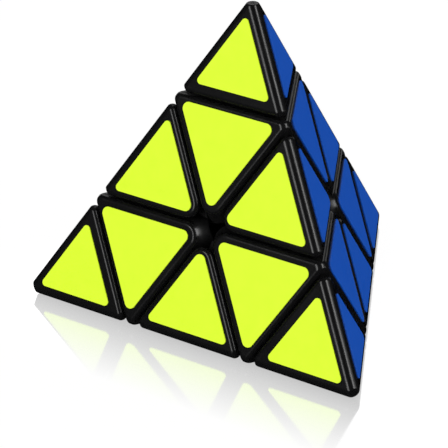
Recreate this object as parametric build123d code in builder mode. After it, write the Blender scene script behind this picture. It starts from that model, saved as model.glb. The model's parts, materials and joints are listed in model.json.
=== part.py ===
"""Pyramid twisty puzzle: four tips, four axial pieces and six edge pieces round a four-armed core.

The origin is the middle of the core, where all the turning axes meet. One corner points up (+Z),
and the puzzle rests on the face opposite to it. Lengths are in millimetres, angles in degrees.
"""

import os
from math import cos, radians, sin, sqrt, tan

from build123d import *

os.makedirs("parts", exist_ok=True)

# ---------------------------------------------------------------- driving dimensions

EDGE_LENGTH = 104.0  # sharp corner to sharp corner, before rounding
GAP = 0.3  # between neighbouring pieces
WALL = 1.8  # moulded shells
RIDGE_RADIUS = 2.0  # the six long edges and four corners of the pyramid
CORNER_BLUNTING = 0.6  # the height that a small flat takes off each rounded corner
FLAT_RADIUS = 0.4  # round the rim of that flat
LIP_RADIUS = 1.2  # border of each visible face, along the cuts
NOSE_RADIUS = 3.9  # pieces' corners round the hole in the middle of each face

STICKER_THICKNESS = 0.25
TIP_STICKER_INSET = 3.6  # from all three sides of the tip's face
AXIAL_STICKER_SIDE_INSET = 2.05  # from the two sides that meet at the middle of the face
AXIAL_STICKER_END_INSET = 1.3  # from the side next to the tip
EDGE_STICKER_SIDE_INSET = 2.5
EDGE_STICKER_END_INSET = 3.7  # from the pyramid's long edge
STICKER_CORNER = 1.0
STICKER_NOSE_CORNER = 1.6  # the corner at the middle of the face, and all three on an axial

CORE_RADIUS = 10.6  # the ball that the feet glide on
FOOT_INNER_RADIUS = 10.75
FOOT_OUTER_RADIUS = 15.35
FOOT_ROOF = 2.0  # thickness of the foot's hook
FOOT_CUT = 5.3  # sides of a foot, square to the axes of its two layers
FOOT_REACH = 11.0  # half the foot's length, where its ends are cut blunt
SHELL_INNER_RADIUS = 15.5  # axial pieces stop here and hold the feet down
NECK_RADIUS = 17.5  # where an edge's foot meets its shell
TONGUE_RADIUS = 20.0  # how far the foot's tongue goes up inside the shell
GLUE_GAP = 0.05

SHOULDER_RADIUS = 5.0
SHOULDER_END = 11.5  # heights on an arm are measured from the middle of the core
POST_RADIUS = 3.0
POST_END = 14.5
RUNNING_GAP = 0.05  # radial, between parts that turn on each other
HUB_RADIUS = 6.3
HUB_START = 11.6
HUB_FLOOR = 14.8
HUB_FLOOR_TOP = 16.4
SPRING_CHAMBER_RADIUS = 4.3
SOCKET_FLOOR = 26.5
SOCKET_RADIUS = 4.6
SNAP_HEIGHT = 30.0
SNAP_DEPTH = 0.4
SNAP_WIDTH = 1.0

SCREW_RADIUS = 1.4
SCREW_START = 5.0
SCREW_HEAD_RADIUS = 3.5
SCREW_HEAD_HEIGHT = 2.2
RECESS_WIDTH = 0.8
RECESS_LENGTH = 4.0
RECESS_DEPTH = 1.3
WASHER_THICKNESS = 0.5
WASHER_RADIUS = 3.7
SPRING_WIRE = 0.35
SPRING_RADIUS = 2.7
SPRING_PITCH = 1.15
SPRING_TURNS = 5

STEM_END = 27.0
STEM_BORE_RADIUS = 2.8
RIB_THICKNESS = 1.5
RIB_START = 19.0

# ---------------------------------------------------------------- worked out from them

HEIGHT = EDGE_LENGTH * sqrt(2 / 3)
TO_FACE = HEIGHT / 4  # middle of the core to each face
LAYER_CUT = HEIGHT / 12  # to the cut under each layer
TIP_CUT = 5 * HEIGHT / 12  # to the cut under each tip
TO_CORNER = 3 * HEIGHT / 4
CELL_HEIGHT = EDGE_LENGTH / 3 * sqrt(3) / 2  # of the nine triangles on each face
CORNER_END = TO_CORNER - 2 * RIDGE_RADIUS - CORNER_BLUNTING
BEYOND = EDGE_LENGTH  # further out than anything
TOUCHING = 0.001
TIP_BASE = TIP_CUT + GAP / 2
AXIAL_TOP = TIP_CUT - GAP / 2
STEM_RADIUS = SOCKET_RADIUS - RUNNING_GAP
WASHER_START = HUB_FLOOR_TOP + RUNNING_GAP
WASHER_END = WASHER_START + WASHER_THICKNESS
SPRING_START = WASHER_END + RUNNING_GAP
SPRING_HEIGHT = SPRING_PITCH * SPRING_TURNS
HEAD_START = SPRING_START + SPRING_HEIGHT + 2 * SPRING_WIRE + RUNNING_GAP
UPRIGHT = (Align.CENTER, Align.CENTER, Align.MIN)  # standing on its own origin


def corner_axis(azimuth):
    """Direction from the middle of the core to a lower corner of the pyramid."""
    return Vector(sqrt(8) / 3 * cos(radians(azimuth)), sqrt(8) / 3 * sin(radians(azimuth)), -1 / 3)


# Every piece is drawn in a frame whose +Z runs to its own corner, with its mate's corner over +X.
OWN = Vector(0, 0, 1)
MATE, SIDE_A, SIDE_B = (corner_axis(azimuth) for azimuth in (0, 120, 240))
FRAME_AXES = (OWN, MATE, SIDE_A, SIDE_B)

# The corners as the puzzle stands, and the colour of the face opposite each one.
CORNERS = {"top": OWN, "left": corner_axis(210), "right": corner_axis(330), "back": corner_axis(90)}
OPPOSITE_COLOUR = {"top": "red", "left": "blue", "right": "green", "back": "yellow"}
EDGES = [
    ("top", "left"),
    ("top", "right"),
    ("top", "back"),
    ("left", "right"),
    ("right", "back"),
    ("left", "back"),
]


def across(axis, distance):
    """Plane square to a corner's axis, at a distance from the middle of the core."""
    return Plane(origin=axis * distance, z_dir=axis)


def seat(own, mate):
    """The frame of a piece at one corner that faces another."""
    return Plane(origin=(0, 0, 0), x_dir=CORNERS[mate], z_dir=CORNERS[own])


def cell(bounds, wall=0.0):
    """What lies between two planes along each corner's axis, less a wall all round."""
    with BuildPart() as space:
        Sphere(BEYOND)
        for axis, (low, high) in zip(FRAME_AXES, bounds):
            split(bisect_by=across(axis, low + wall), keep=Keep.TOP)
            if high < TO_CORNER:
                split(bisect_by=across(axis, high - wall), keep=Keep.BOTTOM)
    return space.part


def lips(faces):
    """Edges between a piece's visible surface and its cut sides."""
    skin = faces.filter_by(lambda face: pyramid_skin.distance_to(face.center()) < TOUCHING)
    return skin.edges() & (faces - skin).edges()


def turned_profile(*corners):
    """Ring or plug round +Z, from the (radius, height) corners of half its section."""
    with BuildPart() as turned:
        with BuildSketch(Plane.XZ):
            with BuildLine():
                Polyline(*corners, close=True)
            make_face()
        revolve(axis=Axis.Z)
    return turned.part


def write(part, label):
    """Keep one piece, or one group of like pieces, as parts/LABEL.step."""
    part.label = label
    export_step(part, f"parts/{label}.step")


OUTWARD = (-TO_FACE, BEYOND)
UNDER_CUT = (-TO_FACE, LAYER_CUT - GAP / 2)
OVER_CUT = (LAYER_CUT + GAP / 2, BEYOND)
TIP_BOUNDS = ((TIP_BASE, BEYOND), OUTWARD, OUTWARD, OUTWARD)
AXIAL_BOUNDS = ((LAYER_CUT + GAP / 2, AXIAL_TOP), UNDER_CUT, UNDER_CUT, UNDER_CUT)
EDGE_BOUNDS = (OVER_CUT, OVER_CUT, OUTWARD, OUTWARD)
FOOT_BOUNDS = ((FOOT_CUT, BEYOND), (FOOT_CUT, BEYOND), OUTWARD, OUTWARD)

# ---------------------------------------------------------------- the rounded pyramid

with BuildPart() as pyramid:
    add(cell((OUTWARD,) * 4))
    fillet(pyramid.edges(), RIDGE_RADIUS)
    for axis in FRAME_AXES:
        split(bisect_by=across(axis, CORNER_END), keep=Keep.BOTTOM)
    fillet(pyramid.edges().filter_by(GeomType.CIRCLE).group_by(SortBy.LENGTH)[-1], FLAT_RADIUS)

pyramid_skin = pyramid.part.shell()

# ---------------------------------------------------------------- tip, hollow, with its stem

tip_cell = cell(TIP_BOUNDS)
tip_room = cell(TIP_BOUNDS, WALL)
stem = turned_profile(
    (STEM_BORE_RADIUS, STEM_END),
    (STEM_RADIUS, STEM_END),
    (STEM_RADIUS, SNAP_HEIGHT - SNAP_WIDTH),
    (STEM_RADIUS + SNAP_DEPTH, SNAP_HEIGHT - SNAP_WIDTH / 4),
    (STEM_RADIUS + SNAP_DEPTH, SNAP_HEIGHT + SNAP_WIDTH / 4),
    (STEM_RADIUS, SNAP_HEIGHT + SNAP_WIDTH),
    (STEM_RADIUS, TIP_BASE + WALL),
    (STEM_BORE_RADIUS, TIP_BASE + WALL),
)

with BuildPart() as tip:
    add(pyramid.part)
    add(tip_cell, mode=Mode.INTERSECT)
    fillet(lips(tip.faces()), LIP_RADIUS)
    add(tip_room, mode=Mode.SUBTRACT)
    Cylinder(STEM_BORE_RADIUS, TIP_BASE + WALL, align=UPRIGHT, mode=Mode.SUBTRACT)
    add(stem)

# ---------------------------------------------------------------- axial piece, with its hub


def nose_wedge(first, second):
    """Space under two layer cuts, with the line where they meet rounded off."""
    ridge = (first + second) * (LAYER_CUT - GAP / 2) / (1 + first.dot(second))
    half_angle = 90 - ridge.get_angle(first)
    half_width = BEYOND * tan(radians(half_angle))
    with BuildPart() as wedge:
        with BuildSketch(Plane(origin=ridge, x_dir=-ridge, z_dir=first.cross(second))) as section:
            with BuildLine():
                Polyline((0, 0), (BEYOND, half_width), (BEYOND, -half_width), close=True)
            make_face()
            fillet(section.vertices().sort_by(Axis.X)[0], NOSE_RADIUS)
        extrude(amount=BEYOND, both=True)
    return wedge.part


axial_cell = cell(AXIAL_BOUNDS)
axial_room = cell(AXIAL_BOUNDS, WALL)
axial_inside = cell(AXIAL_BOUNDS, WALL / 2)
wedges = [nose_wedge(MATE, SIDE_A), nose_wedge(SIDE_A, SIDE_B), nose_wedge(SIDE_B, MATE)]
hub_bore = turned_profile(
    (0, HUB_START),
    (POST_RADIUS + RUNNING_GAP, HUB_START),
    (POST_RADIUS + RUNNING_GAP, HUB_FLOOR),
    (SCREW_RADIUS + 2 * RUNNING_GAP, HUB_FLOOR),
    (SCREW_RADIUS + 2 * RUNNING_GAP, HUB_FLOOR_TOP),
    (SPRING_CHAMBER_RADIUS, HUB_FLOOR_TOP),
    (SPRING_CHAMBER_RADIUS, SOCKET_FLOOR),
    (SOCKET_RADIUS, SOCKET_FLOOR),
    (SOCKET_RADIUS, SNAP_HEIGHT - SNAP_WIDTH - 2 * RUNNING_GAP),
    (SOCKET_RADIUS + SNAP_DEPTH + RUNNING_GAP, SNAP_HEIGHT - SNAP_WIDTH / 4 - 2 * RUNNING_GAP),
    (SOCKET_RADIUS + SNAP_DEPTH + RUNNING_GAP, SNAP_HEIGHT + SNAP_WIDTH / 4 + 2 * RUNNING_GAP),
    (SOCKET_RADIUS, SNAP_HEIGHT + SNAP_WIDTH + 2 * RUNNING_GAP),
    (SOCKET_RADIUS, AXIAL_TOP),
    (0, AXIAL_TOP),
)

with BuildPart() as ribs:
    with BuildSketch(Plane.XY.offset(RIB_START)):
        with PolarLocations(0, 3):
            Rectangle(BEYOND, RIB_THICKNESS, align=(Align.MIN, Align.CENTER))
    extrude(amount=AXIAL_TOP - RIB_START)
    add(axial_inside, mode=Mode.INTERSECT)

with BuildPart() as axial:
    add(pyramid.part)
    add(axial_cell, mode=Mode.INTERSECT)
    for wedge in wedges:
        add(wedge, mode=Mode.INTERSECT)
    fillet(lips(axial.faces()), LIP_RADIUS)
    add(axial_room, mode=Mode.SUBTRACT)
    add(ribs.part)
    Sphere(SHELL_INNER_RADIUS, mode=Mode.SUBTRACT)
    with Locations((0, 0, HUB_START)):
        Cylinder(HUB_RADIUS, AXIAL_TOP - WALL / 2 - HUB_START, align=UPRIGHT)
    add(hub_bore, mode=Mode.SUBTRACT)

# ---------------------------------------------------------------- edge piece: shell and foot

edge_cell = cell(EDGE_BOUNDS)
edge_room = cell(EDGE_BOUNDS, WALL)
tongue_room = cell(EDGE_BOUNDS, WALL + GLUE_GAP)

with BuildPart() as edge_shell:
    add(pyramid.part)
    add(edge_cell, mode=Mode.INTERSECT)
    fillet(edge_shell.edges().sort_by_distance((0, 0, 0))[0], NOSE_RADIUS)
    fillet(lips(edge_shell.faces()), LIP_RADIUS)
    add(edge_room, mode=Mode.SUBTRACT)
    Sphere(NECK_RADIUS, mode=Mode.SUBTRACT)

with BuildPart() as tongue:
    Sphere(TONGUE_RADIUS)
    add(tongue_room, mode=Mode.INTERSECT)
    Sphere(NECK_RADIUS - WALL, mode=Mode.SUBTRACT)

with BuildPart() as neck:
    Sphere(NECK_RADIUS)
    add(edge_cell, mode=Mode.INTERSECT)
    Sphere(FOOT_OUTER_RADIUS - FOOT_ROOF, mode=Mode.SUBTRACT)

foot_cell = cell(FOOT_BOUNDS)
foot_room = cell(FOOT_BOUNDS, WALL)

with BuildPart() as foot_inside:
    Sphere(FOOT_OUTER_RADIUS - FOOT_ROOF)
    add(foot_room, mode=Mode.INTERSECT)

with BuildPart() as edge_foot:
    Sphere(FOOT_OUTER_RADIUS)
    add(foot_cell, mode=Mode.INTERSECT)
    add(foot_inside.part, mode=Mode.SUBTRACT)
    Sphere(FOOT_INNER_RADIUS, mode=Mode.SUBTRACT)
    with Locations(Plane(origin=(0, 0, 0), z_dir=OWN + MATE)):
        Cylinder(FOOT_REACH, BEYOND, mode=Mode.INTERSECT)
    add(neck.part)
    add(tongue.part)

# ---------------------------------------------------------------- core, screws, washers, springs

ARMS = [Plane(origin=(0, 0, 0), z_dir=axis) for axis in CORNERS.values()]

with BuildPart() as core_spider:
    Sphere(CORE_RADIUS)
    with Locations(*ARMS):
        Cylinder(SHOULDER_RADIUS, SHOULDER_END, align=UPRIGHT)
        Cylinder(POST_RADIUS, POST_END, align=UPRIGHT)
    with Locations(*(arm.offset(SCREW_START) for arm in ARMS)):
        Cylinder(SCREW_RADIUS, POST_END, align=UPRIGHT, mode=Mode.SUBTRACT)

with BuildPart() as screw:
    with Locations((0, 0, SCREW_START)):
        Cylinder(SCREW_RADIUS, HEAD_START - SCREW_START, align=UPRIGHT)
    with Locations((0, 0, HEAD_START)):
        Cylinder(SCREW_HEAD_RADIUS, SCREW_HEAD_HEIGHT, align=UPRIGHT)
    fillet(screw.faces().sort_by(Axis.Z)[-1].edges(), SCREW_HEAD_HEIGHT / 2)
    with Locations((0, 0, HEAD_START + SCREW_HEAD_HEIGHT - RECESS_DEPTH)):
        Box(RECESS_LENGTH, RECESS_WIDTH, RECESS_DEPTH, align=UPRIGHT, mode=Mode.SUBTRACT)
        Box(RECESS_WIDTH, RECESS_LENGTH, RECESS_DEPTH, align=UPRIGHT, mode=Mode.SUBTRACT)

washer = turned_profile(
    (SCREW_RADIUS + RUNNING_GAP, WASHER_START),
    (WASHER_RADIUS, WASHER_START),
    (WASHER_RADIUS, WASHER_END),
    (SCREW_RADIUS + RUNNING_GAP, WASHER_END),
)

with BuildPart() as spring:
    with BuildLine():
        start = (0, 0, SPRING_START + SPRING_WIRE)
        coil = Helix(SPRING_PITCH, SPRING_HEIGHT, SPRING_RADIUS, center=start)
    with BuildSketch(Plane(origin=coil @ 0, z_dir=coil % 0)):
        Circle(SPRING_WIRE)
    sweep(path=coil, is_frenet=True)

for label, piece in (
    ("axle_screws", screw.part),
    ("screw_washers", washer),
    ("axle_springs", spring.part),
):
    with BuildPart() as fittings:
        add([arm.location * piece for arm in ARMS])
    write(fittings.part, label)

write(core_spider.part, "core_spider")

# ---------------------------------------------------------------- pieces in their places

for own, mate in (("top", "left"), ("left", "right"), ("right", "back"), ("back", "top")):
    write(seat(own, mate).location * tip.part, f"tip_{own}_cap")
    write(seat(own, mate).location * axial.part, f"axial_{own}_shell")

for own, mate in EDGES:
    write(seat(own, mate).location * edge_shell.part, f"edge_{own}_{mate}_shell")
    write(seat(own, mate).location * edge_foot.part, f"edge_{own}_{mate}_foot")

# ---------------------------------------------------------------- stickers


def write_sticker(label, face, start, toward, insets, corner_radii):
    """Rounded triangle inside one cell of a face.

    The cell's tip is at start and its opposite side lies towards the second point; insets and
    corner radii are given for the tip's two sides, then for the opposite side.
    """
    side_inset, end_inset = insets
    tip_radius, end_radius = corner_radii
    far = CELL_HEIGHT - end_inset
    half_width = (far - 2 * side_inset) * tan(radians(30))
    with BuildPart() as sticker:
        with BuildSketch(Plane(origin=start, x_dir=toward - start, z_dir=-CORNERS[face])) as outline:
            with BuildLine():
                Polyline((2 * side_inset, 0), (far, half_width), (far, -half_width), close=True)
            make_face()
            fillet(outline.vertices().sort_by(Axis.X)[0], tip_radius)
            fillet(outline.vertices().sort_by(Axis.X)[-2:], end_radius)
        extrude(amount=STICKER_THICKNESS)
    write(sticker.part, label)


for face, colour in OPPOSITE_COLOUR.items():
    middle = CORNERS[face] * -TO_FACE
    around = [corner for corner in CORNERS if corner != face]
    for corner in around:
        apex = CORNERS[corner] * TO_CORNER
        write_sticker(
            f"tip_{corner}_sticker_{colour}",
            face,
            apex,
            middle,
            (TIP_STICKER_INSET, TIP_STICKER_INSET),
            (STICKER_CORNER, STICKER_CORNER),
        )
        write_sticker(
            f"axial_{corner}_sticker_{colour}",
            face,
            middle,
            apex,
            (AXIAL_STICKER_SIDE_INSET, AXIAL_STICKER_END_INSET),
            (STICKER_NOSE_CORNER, STICKER_NOSE_CORNER),
        )
    for own, mate in EDGES:
        if face not in (own, mate):
            write_sticker(
                f"edge_{own}_{mate}_sticker_{colour}",
                face,
                middle,
                (CORNERS[own] + CORNERS[mate]) * (TO_CORNER / 2),
                (EDGE_STICKER_SIDE_INSET, EDGE_STICKER_END_INSET),
                (STICKER_NOSE_CORNER, STICKER_CORNER),
            )
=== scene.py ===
"""Looks of the pyramid twisty puzzle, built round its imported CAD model. Lengths are in metres."""

import json
from math import cos, pi, radians, sin

import bpy
from mathutils import Matrix, Quaternion, Vector


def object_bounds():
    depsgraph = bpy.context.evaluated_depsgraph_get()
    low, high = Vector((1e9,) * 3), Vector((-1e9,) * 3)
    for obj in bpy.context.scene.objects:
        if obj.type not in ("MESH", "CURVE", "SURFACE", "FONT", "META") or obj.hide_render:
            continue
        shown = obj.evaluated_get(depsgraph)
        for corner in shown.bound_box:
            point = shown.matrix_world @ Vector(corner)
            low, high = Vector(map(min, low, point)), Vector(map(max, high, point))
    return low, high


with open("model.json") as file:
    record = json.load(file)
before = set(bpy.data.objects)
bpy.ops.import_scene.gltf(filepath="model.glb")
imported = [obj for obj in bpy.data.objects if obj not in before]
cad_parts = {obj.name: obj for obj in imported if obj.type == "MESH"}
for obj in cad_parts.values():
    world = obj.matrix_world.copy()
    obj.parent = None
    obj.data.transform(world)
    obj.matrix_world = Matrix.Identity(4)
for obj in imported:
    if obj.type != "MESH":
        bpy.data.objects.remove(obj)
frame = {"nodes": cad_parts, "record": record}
cad_low, cad_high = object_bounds()

MM = 0.001

# Azimuth 0 is in front of the yellow face (-Y) and 90 is on its right (+X), in degrees.
CAMERA_AZIMUTH = 35.20
CAMERA_ELEVATION = 26.00
CAMERA_DISTANCE = 706 * MM  # from the middle of the core
AIM_AZIMUTH = 35.869  # the puzzle stands a little right of the middle of the view
AIM_ELEVATION = 25.985
CAMERA_ROLL = -0.58
LENS_MM = 228.1
SENSOR_MM = 36

# Shape of the puzzle
STICKER_THICKNESS = 0.25 * MM
STICKER_RIM = 0.07 * MM
RIM_SEGMENTS = 3
RIM_ANGLE = 50  # edges sharper than this are the rim, in degrees
JOIN_DISTANCE = 0.001 * MM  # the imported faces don't share their corner points
SKIN = -cad_low.z - STICKER_THICKNESS  # from the middle of the core to each face
FACE_TILT = 19.47  # how far the three sloping faces look upwards, in degrees
RIDGE_SLOPE = 54.7  # of the edges that run down from the top corner, in degrees
SIDES = (0, 120, 240)  # azimuths of the sloping faces: yellow, blue, green

# Colours
STICKER_COLOURS = {
    "yellow": (0.720, 0.985, 0.016),
    "blue": (0.002, 0.085, 0.520),
    "green": (0.008, 0.380, 0.060),
    "red": (0.600, 0.012, 0.012),
}
GLOSS_BLACK = (0.0052, 0.0052, 0.0056)
SATIN_BLACK = (0.0095, 0.0095, 0.0105)
ZINC = (0.60, 0.61, 0.63)
SPRING_WIRE = (0.55, 0.55, 0.56)

# Surface detail
NOISE_LOW, NOISE_HIGH = 0.3, 0.7  # most of a noise's values lie between these
CLOUD_SIZE = 9 * MM
RUB_SIZE = 2.2 * MM
RUB_RADIUS = 0.5 * MM
PEEL_SIZE = 1.1 * MM
GRAIN_SIZE = 0.18 * MM
GRAIN_DEPTH = 0.0012 * MM
HAIRLINE_DEPTH = 0.001 * MM
SHADE_AND_DULL_START = 0.8 * MM  # below the skin, where the polish of the mould ends and the painted shade of the gaps and the hole begins
SHADE_AND_DULL_END = 2.0 * MM
DULLNESS = 0.45  # added to the roughness there
GLOSS_PEEL_DEPTH = 0.006 * MM
SATIN_PEEL_DEPTH = 0.010 * MM
PRINT_SIZE = 3.5 * MM
FILM_GRAIN_SIZE = 0.25 * MM
FILM_PEEL_SIZE = 1.6 * MM
FILM_PEEL_DEPTH = 0.005 * MM
FILM_ROUGHNESS = 0.315
CUT_EDGE_RADIUS = 0.12 * MM
TOOL_LINE_SIZE = 0.12 * MM
TOOL_LINE_DEPTH = 0.002 * MM
STAIN_SIZE = 1.5 * MM
SCRATCH_ASPECT = 22  # how many times longer than wide
SCRATCH_LEVEL = 0.74  # of the noise, above which little of a surface is scratched
SCRATCH_SOFTNESS = 0.02
PLASTIC_SCRATCH_SIZE = 2.5 * MM
FILM_SCRATCH_SIZE = 4 * MM
EDGE_COSINE = 0.86  # of the angle between rounded and flat normal that counts as a full edge
EDGE_SAMPLES = 6

# Studio
ROOM_BRIGHTNESS = 1.15
FLOOR_RADIUS = 6.0
FLOOR_MIRROR = 0.41  # share of the floor's look that is its polish, where it meets the puzzle
FLOOR_ROUGHNESS = 0.08
FLOOR_SHADING = 0.06  # share of the rest that takes shadows
FLOOR_FADE_START = 27.5 * MM  # square to the sides of the triangle that the puzzle stands on
FLOOR_FADE_END = 54 * MM
STUDIO_RADIUS = 5.0
LAMP_DISTANCE = 0.9


def direction(azimuth, elevation):
    """Unit vector from the puzzle towards a place in the studio."""
    a, e = radians(azimuth), radians(elevation)
    return Vector((sin(a) * cos(e), -cos(a) * cos(e), sin(e)))


def ridge(azimuth):
    """Line of the edge that runs from the top corner down to the lower one at an azimuth."""
    return direction(azimuth, -RIDGE_SLOPE)


def scaled(colour, factor, lift=0.0):
    return tuple(min(1.0, factor * channel + lift) for channel in colour)


# ---------------------------------------------------------------- material building blocks


class Nodes:
    """Short ways to add nodes to a material. Inputs are numbers, colours or other nodes' outputs."""

    def __init__(self, name):
        self.material = bpy.data.materials.new(name)
        self.material.use_nodes = True
        self.tree = self.material.node_tree
        self.place = self.node("TexCoord").outputs["Object"]

    def node(self, kind, **inputs):
        made = self.tree.nodes.new("ShaderNode" + kind)
        for socket, value in inputs.items():
            self.feed(made.inputs[socket.replace("_", " ")], value)
        return made

    def feed(self, socket, value):
        if isinstance(value, bpy.types.NodeSocket):
            self.tree.links.new(value, socket)
        else:
            socket.default_value = value

    def math(self, operation, first, second):
        made = self.node("Math")
        made.operation = operation
        self.feed(made.inputs[0], first)
        self.feed(made.inputs[1], second)
        return made.outputs["Value"]

    def plus(self, first, second):
        return self.math("ADD", first, second)

    def times(self, first, second):
        return self.math("MULTIPLY", first, second)

    def dot(self, first, second):
        made = self.node("VectorMath")
        made.operation = "DOT_PRODUCT"
        self.feed(made.inputs[0], first)
        self.feed(made.inputs[1], second)
        return made.outputs["Value"]

    def furthest(self, ways):
        """How far a point lies from the middle of the core, measured the way that gives the most."""
        most, *others = [self.dot(self.place, way) for way in ways]
        for other in others:
            most = self.math("MAXIMUM", most, other)
        return most

    def remap(self, value, low, high, to_low=0.0, to_high=1.0):
        made = self.node("MapRange", Value=value, From_Min=low, From_Max=high)
        made.inputs["To Min"].default_value = to_low
        made.inputs["To Max"].default_value = to_high
        return made.outputs["Result"]

    def blend(self, share, first, second):
        """Colour that goes from the first to the second as share goes from 0 to 1."""
        made = self.node("Mix")
        made.data_type = "RGBA"
        # Its colour sockets have the same names as its other ones, so they go by number.
        self.feed(made.inputs["Factor"], share)
        for socket, colour in zip(made.inputs[6:8], (first, second)):
            self.feed(socket, (*colour, 1) if isinstance(colour, tuple) else colour)
        return made.outputs[2]

    def mix_shaders(self, share, first, second):
        made = self.node("MixShader", Fac=share)
        self.feed(made.inputs[1], first.outputs[0])
        self.feed(made.inputs[2], second.outputs[0])
        return made

    def noise(self, size, detail=2.0, roughness=0.5, stretch=(1, 1, 1), turn=(0, 0, 0)):
        """Cloudy pattern from 0 to 1, of lumps of about the given size."""
        place = self.node("Mapping", Vector=self.place, Rotation=turn, Scale=stretch)
        made = self.node("TexNoise", Vector=place.outputs["Vector"], Scale=1 / size)
        made.inputs["Detail"].default_value = detail
        made.inputs["Roughness"].default_value = roughness
        return made.outputs[0]

    def scratches(self, size, turn, share):
        """Hairlines from 0 to 1, running one way, that cover a small share of the surface."""
        thin = (1, SCRATCH_ASPECT, SCRATCH_ASPECT)
        lines = self.noise(size, detail=3.0, roughness=0.6, stretch=thin, turn=turn)
        level = SCRATCH_LEVEL - share
        return self.remap(lines, level, level + SCRATCH_SOFTNESS)

    def edges(self, radius):
        """Near 1 along convex and concave edges, 0 on flats."""
        rounded = self.node("Bevel", Radius=radius)
        rounded.samples = EDGE_SAMPLES
        flat = self.node("NewGeometry").outputs["Normal"]
        return self.remap(self.dot(rounded.outputs["Normal"], flat), 1.0, EDGE_COSINE)

    def bump(self, height, depth, under=None):
        made = self.node("Bump", Height=height, Distance=depth, Strength=1.0)
        if under is not None:
            self.feed(made.inputs["Normal"], under)
        return made.outputs["Normal"]

    def finish(self, colour, roughness, normal, **fixed):
        """Feed the Principled shader that the material came with."""
        shader = self.tree.nodes["Principled BSDF"]
        self.feed(shader.inputs["Base Color"], colour)
        self.feed(shader.inputs["Roughness"], roughness)
        self.feed(shader.inputs["Normal"], normal)
        for socket, value in fixed.items():
            shader.inputs[socket].default_value = value
        return self.material

    def finish_with(self, shader):
        """Put another shader in its place."""
        self.tree.nodes.remove(self.tree.nodes["Principled BSDF"])
        self.feed(self.tree.nodes["Material Output"].inputs["Surface"], shader.outputs[0])
        return self.material


# ---------------------------------------------------------------- the puzzle's materials


def moulded_plastic(name, colour, roughness, peel_depth):
    """Dark ABS with orange peel, hairlines and paler rubbed edges, left dull below the surface and
    painted darker there as shade in the gaps and the hole.
    """
    made = Nodes(name)
    height = made.furthest([direction(side, FACE_TILT) for side in SIDES] + [direction(0, -90)])
    # Mask that is 0 at the skin and 1 deep inside; it dulls the gloss and paints shade.
    painted_shade_and_dullness = made.remap(height, SKIN - SHADE_AND_DULL_START, SKIN - SHADE_AND_DULL_END)
    cloudy = made.noise(CLOUD_SIZE, detail=3.0)
    rubbed = made.times(made.edges(RUB_RADIUS), made.noise(RUB_SIZE, detail=4.0))
    hairlines = made.scratches(PLASTIC_SCRATCH_SIZE, (0.3, 0.5, 0.9), share=0.06)
    tone = made.blend(cloudy, colour, scaled(colour, 0.7))
    tone = made.blend(made.times(rubbed, 0.5), tone, scaled(colour, 2.6, lift=0.006))
    # Painted shade: below the surface, in the gaps between pieces and in the hole, the colour is
    # darkened to 0.4 of itself.
    tone = made.blend(painted_shade_and_dullness, tone, scaled(colour, 0.4))
    rough = made.remap(cloudy, NOISE_LOW, NOISE_HIGH, roughness - 0.03, roughness + 0.05)
    rough = made.plus(rough, made.times(hairlines, 0.10))
    rough = made.plus(rough, made.times(painted_shade_and_dullness, DULLNESS))
    normal = made.bump(made.noise(PEEL_SIZE, detail=1.0), peel_depth)
    normal = made.bump(made.noise(GRAIN_SIZE), GRAIN_DEPTH, normal)
    normal = made.bump(hairlines, -HAIRLINE_DEPTH, normal)
    return made.finish(tone, rough, normal, IOR=1.54)


def vinyl(name, colour):
    """Coloured film: faint print mottle, peel, dull hairlines and a darker cut edge."""
    made = Nodes(name)
    mottle = made.noise(PRINT_SIZE, detail=4.0, roughness=0.6)
    print_tone = made.plus(mottle, made.times(made.noise(FILM_GRAIN_SIZE), 0.5))
    tone = made.blend(made.remap(print_tone, 0.4, 1.1), scaled(colour, 0.955), scaled(colour, 1.02))
    cut_edge = made.times(made.edges(CUT_EDGE_RADIUS), 0.35)
    tone = made.blend(cut_edge, tone, scaled(colour, 0.62))
    hairlines = made.scratches(FILM_SCRATCH_SIZE, (0.9, 0.2, 0.5), share=0.05)
    rough = made.remap(mottle, NOISE_LOW, NOISE_HIGH, FILM_ROUGHNESS - 0.02, FILM_ROUGHNESS + 0.02)
    rough = made.plus(rough, made.times(hairlines, 0.03))
    peel = made.bump(made.noise(FILM_PEEL_SIZE, detail=1.5), FILM_PEEL_DEPTH)
    return made.finish(tone, rough, peel, IOR=1.45)


def steel(name, colour, roughness, stretch):
    """Bright metal with fine lines from turning or drawing."""
    made = Nodes(name)
    lines = made.noise(TOOL_LINE_SIZE, detail=3.0, stretch=stretch)
    stain = made.noise(STAIN_SIZE, detail=3.0)
    tone = made.blend(stain, scaled(colour, 0.82), colour)
    rough = made.remap(lines, NOISE_LOW, NOISE_HIGH, roughness - 0.08, roughness + 0.1)
    return made.finish(tone, rough, made.bump(lines, TOOL_LINE_DEPTH), Metallic=1.0)


MATERIALS = {
    "shell_plastic": moulded_plastic("black_abs_gloss", GLOSS_BLACK, 0.23, GLOSS_PEEL_DEPTH),
    "inner_plastic": moulded_plastic("black_abs_satin", SATIN_BLACK, 0.40, SATIN_PEEL_DEPTH),
    "screw_steel": steel("zinc_plated_steel", ZINC, 0.30, (1, 1, 6)),
    "spring_steel": steel("spring_wire", SPRING_WIRE, 0.22, (4, 4, 1)),
}
for colour_name, film_colour in STICKER_COLOURS.items():
    MATERIALS["sticker_" + colour_name] = vinyl("vinyl_" + colour_name, film_colour)


def soften_rim(sticker):
    """Join the film's faces along their edges and round its cut rim."""
    joined = sticker.modifiers.new("joined", "WELD")
    joined.merge_threshold = JOIN_DISTANCE
    rim = sticker.modifiers.new("rim", "BEVEL")
    rim.width = STICKER_RIM
    rim.segments = RIM_SEGMENTS
    rim.limit_method = "ANGLE"
    rim.angle_limit = radians(RIM_ANGLE)
    rim.harden_normals = True


for row in frame["record"]["subparts"]:
    node = frame["nodes"][row["node"]]
    for place in node.material_slots:
        place.material = MATERIALS[row["material_slot"]]
    if "sticker" in row["node"]:
        soften_rim(node)

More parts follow.
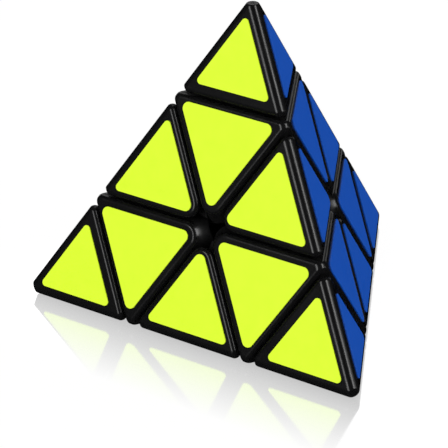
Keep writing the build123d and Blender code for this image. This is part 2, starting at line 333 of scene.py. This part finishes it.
# ---------------------------------------------------------------- studio


def show_to(thing, camera=False, diffuse=False, glossy=False, shadow=False):
    """Which rays see a stage piece or a lamp."""
    thing.visible_camera = camera
    thing.visible_diffuse = diffuse
    thing.visible_glossy = glossy
    thing.visible_transmission = False
    thing.visible_shadow = shadow


def polished_floor():
    """White floor that is evenly bright, with a mirror image of the puzzle that fades outwards."""
    made = Nodes("white_floor")
    glow = made.node("Emission", Color=(1, 1, 1, 1))
    chalk = made.node("BsdfDiffuse", Color=(0.97, 0.97, 0.97, 1))
    polish = made.node("BsdfGlossy", Color=(1, 1, 1, 1), Roughness=FLOOR_ROUGHNESS)
    outward = made.furthest([direction(side, 0) for side in SIDES])
    mirror = made.remap(outward, FLOOR_FADE_START, FLOOR_FADE_END, FLOOR_MIRROR, 0)
    body = made.mix_shaders(FLOOR_SHADING, glow, chalk)
    return made.finish_with(made.mix_shaders(mirror, body, polish))


def white_card():
    made = Nodes("white_card")
    return made.finish_with(made.node("Emission", Color=(1, 1, 1, 1)))


bpy.ops.mesh.primitive_circle_add(
    vertices=128, radius=FLOOR_RADIUS, fill_type="NGON", location=(0, 0, cad_low.z)
)
floor = bpy.context.object
floor.name = "floor"
floor.data.materials.append(polished_floor())
show_to(floor, camera=True, diffuse=True, shadow=True)

# What the floor's polish mirrors above it. The puzzle itself mirrors only the lamps.
bpy.ops.mesh.primitive_uv_sphere_add(segments=48, ring_count=24, radius=STUDIO_RADIUS)
studio = bpy.context.object
studio.name = "studio"
studio.data.materials.append(white_card())
show_to(studio, glossy=True)
floor_only = bpy.data.collections.new("floor_only")
floor_only.objects.link(floor)
studio.light_linking.receiver_collection = floor_only

world = bpy.data.worlds.new("white_room")
bpy.context.scene.world = world
world.use_nodes = True
room = world.node_tree.nodes["Background"]
room.inputs["Color"].default_value = (1, 1, 1, 1)
room.inputs["Strength"].default_value = ROOM_BRIGHTNESS
world.cycles_visibility.glossy = False


def strip_lamp(name, azimuth, elevation, length, width, along, brightness):
    """Lamp facing the puzzle, seen only in its gloss, with its long side along a line."""
    lamp = bpy.data.lights.new(name, "AREA")
    lamp.shape = "RECTANGLE"
    lamp.size = length
    lamp.size_y = width
    lamp.energy = brightness * pi * length * width
    made = bpy.data.objects.new(name, lamp)
    bpy.context.scene.collection.objects.link(made)
    outward = direction(azimuth, elevation)
    across = outward.cross(along).normalized()
    turned = Matrix((across.cross(outward), across, outward)).transposed()
    made.matrix_world = Matrix.Translation(outward * LAMP_DISTANCE) @ turned.to_4x4()
    show_to(made, glossy=True)


# The first two draw two lines of light down the edge between the yellow and the blue face, and the
# next three draw such lines on the other edges. The last lights the rims of the blue face.
strip_lamp("front_strip", -10, 21.4, 0.8, 0.24, ridge(60), 3.9)
strip_lamp("right_strip", 85.5, 39.2, 0.8, 0.24, ridge(60), 5.0)
strip_lamp("rear_right_strip", 106.7, 19.3, 0.5, 0.20, ridge(180), 1.4)
strip_lamp("rear_left_strip", 205.5, 39.2, 0.5, 0.20, ridge(180), 0.9)
strip_lamp("left_strip", 226.7, 19.3, 0.5, 0.20, ridge(300), 0.9)
strip_lamp("back_strip", 200, 8, 0.8, 0.12, direction(290, 0), 0.8)

# ---------------------------------------------------------------- camera

lens = bpy.data.cameras.new("camera")
lens.lens = LENS_MM
lens.sensor_width = SENSOR_MM
lens.clip_start = 0.05
lens.clip_end = 40
camera = bpy.data.objects.new("camera", lens)
bpy.context.scene.collection.objects.link(camera)
camera.location = direction(CAMERA_AZIMUTH, CAMERA_ELEVATION) * CAMERA_DISTANCE
camera.rotation_mode = "QUATERNION"
turn = Quaternion((0, 0, 1), radians(AIM_AZIMUTH))
tilt = Quaternion((1, 0, 0), radians(90 - AIM_ELEVATION))
roll = Quaternion((0, 0, 1), radians(CAMERA_ROLL))
camera.rotation_quaternion = turn @ tilt @ roll
bpy.context.scene.camera = camera
bpy.context.scene.view_settings.view_transform = "Standard"
